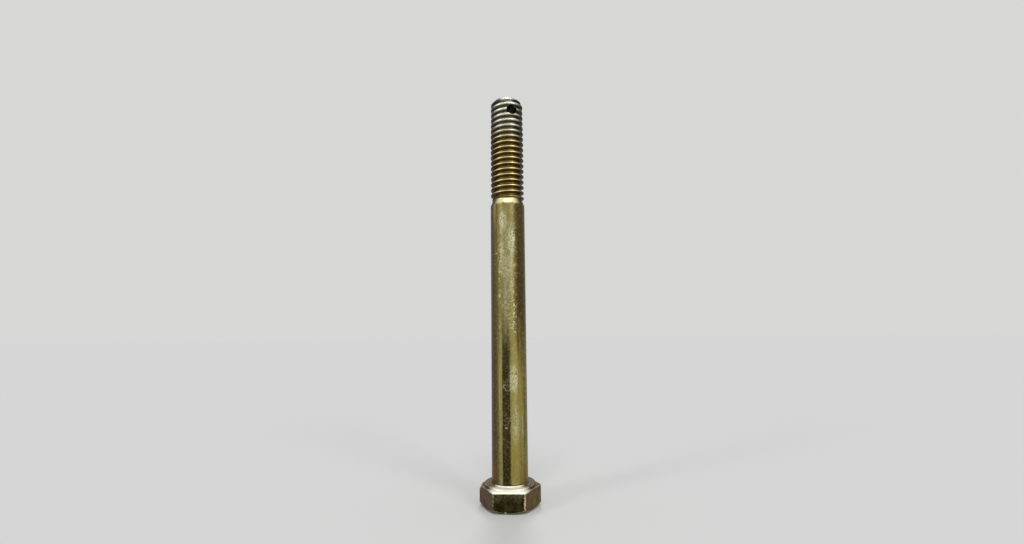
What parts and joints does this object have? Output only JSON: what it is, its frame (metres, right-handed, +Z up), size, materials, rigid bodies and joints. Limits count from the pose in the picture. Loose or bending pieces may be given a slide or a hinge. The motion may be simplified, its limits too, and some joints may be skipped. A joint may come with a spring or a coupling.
{
  "type": "kingpin bolt",
  "caption": "Long hex-head kingpin bolt with a plain shank, a coarse right-hand thread at its tip and a cross hole for a split pin, zinc plated and yellow passivated.",
  "frame": {"origin": "middle of the bearing face under the head", "axes": "+Z runs up the shank from the head to the tip, and -Y is square to one flat of the head"},
  "size_m": [0.0162, 0.014, 0.1106],
  "materials": {
    "yellow_zinc": "zinc plated steel with a yellow passivate, worn to bare zinc on the thread's crests and in patches along the shank"
  },
  "bodies": {
    "root": {"kingpin_bolt": "yellow_zinc"}
  },
  "joints": []
}
